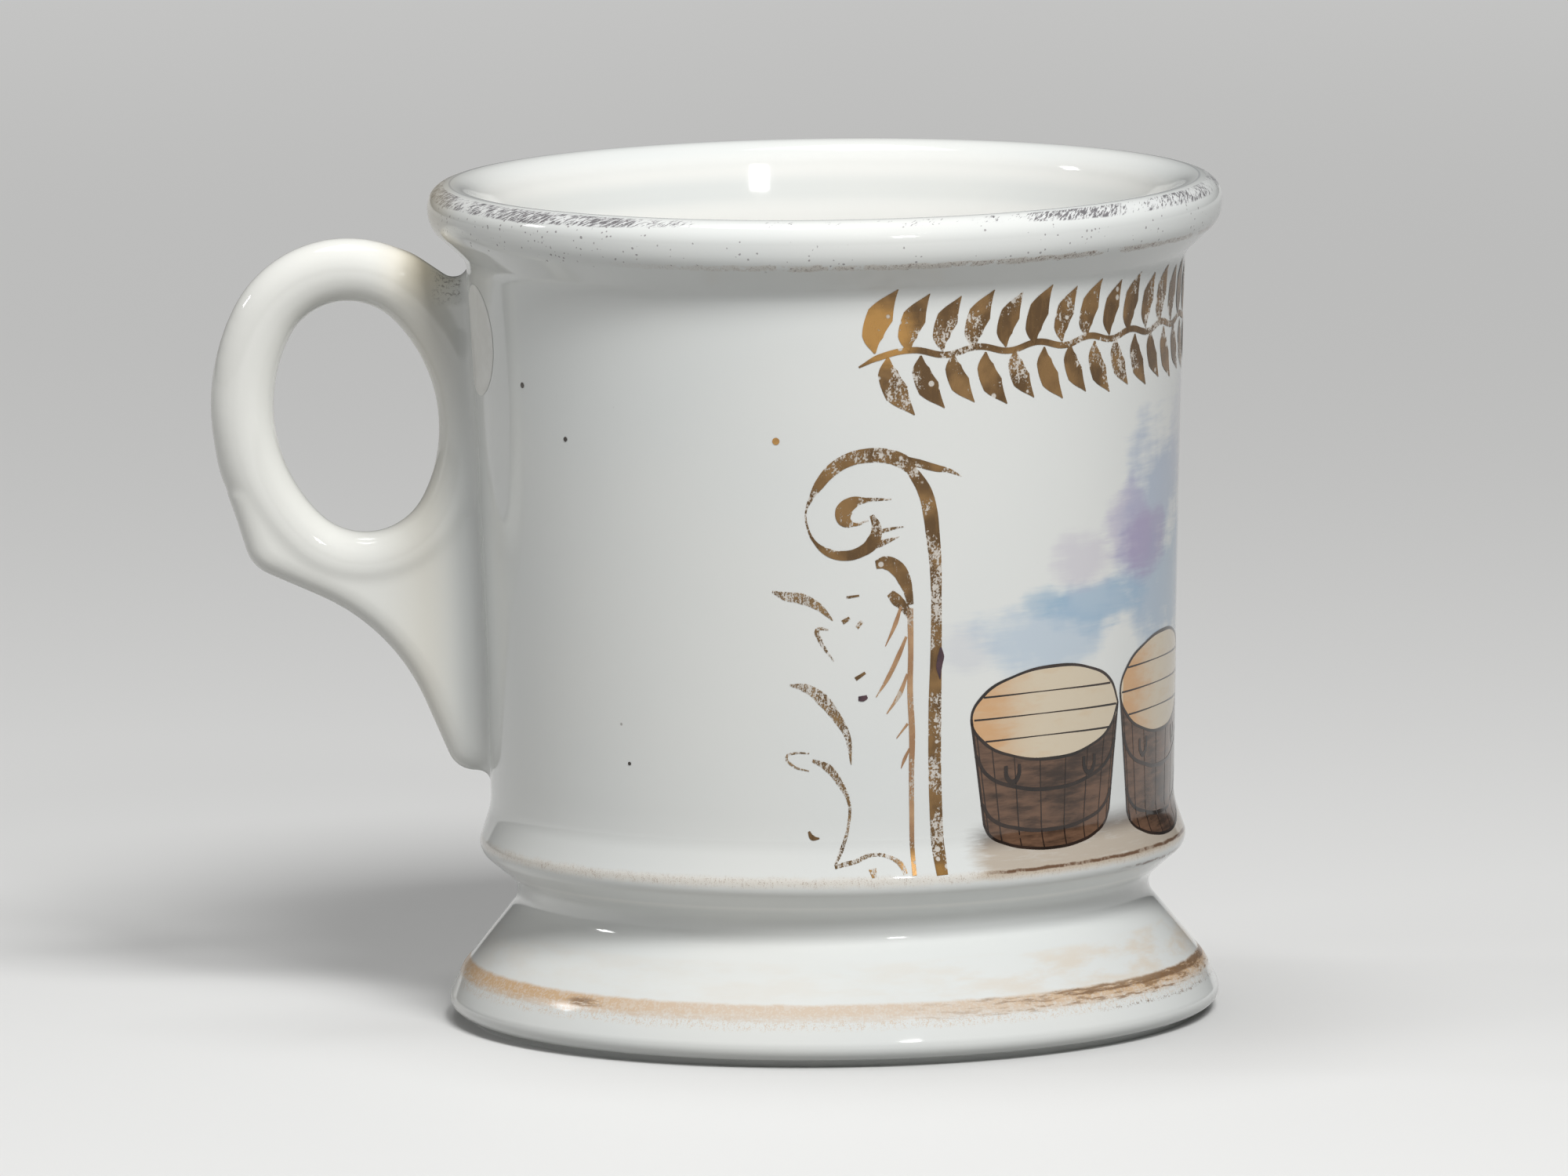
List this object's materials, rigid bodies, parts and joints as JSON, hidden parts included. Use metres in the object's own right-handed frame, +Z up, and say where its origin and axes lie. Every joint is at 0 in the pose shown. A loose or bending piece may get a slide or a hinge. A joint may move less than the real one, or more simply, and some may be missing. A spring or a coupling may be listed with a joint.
{
  "type": "shaving mug",
  "caption": "Glazed porcelain shaving mug with a rolled rim, beaded waist, flared foot, ear handle with spur and worn gilt decoration.",
  "frame": {"origin": "centre of the foot ring's resting plane, on the axis of the turned body", "axes": "+Z up along the body's axis, the handle towards -X, the middle of the decorated side towards +X"},
  "size_m": [0.1146, 0.0898, 0.0949],
  "materials": {
    "glazed_porcelain": "glossy white glaze, with worn gilding on the rim, bead and foot"
  },
  "bodies": {
    "root": {"shaving_mug": "glazed_porcelain"}
  },
  "joints": []
}
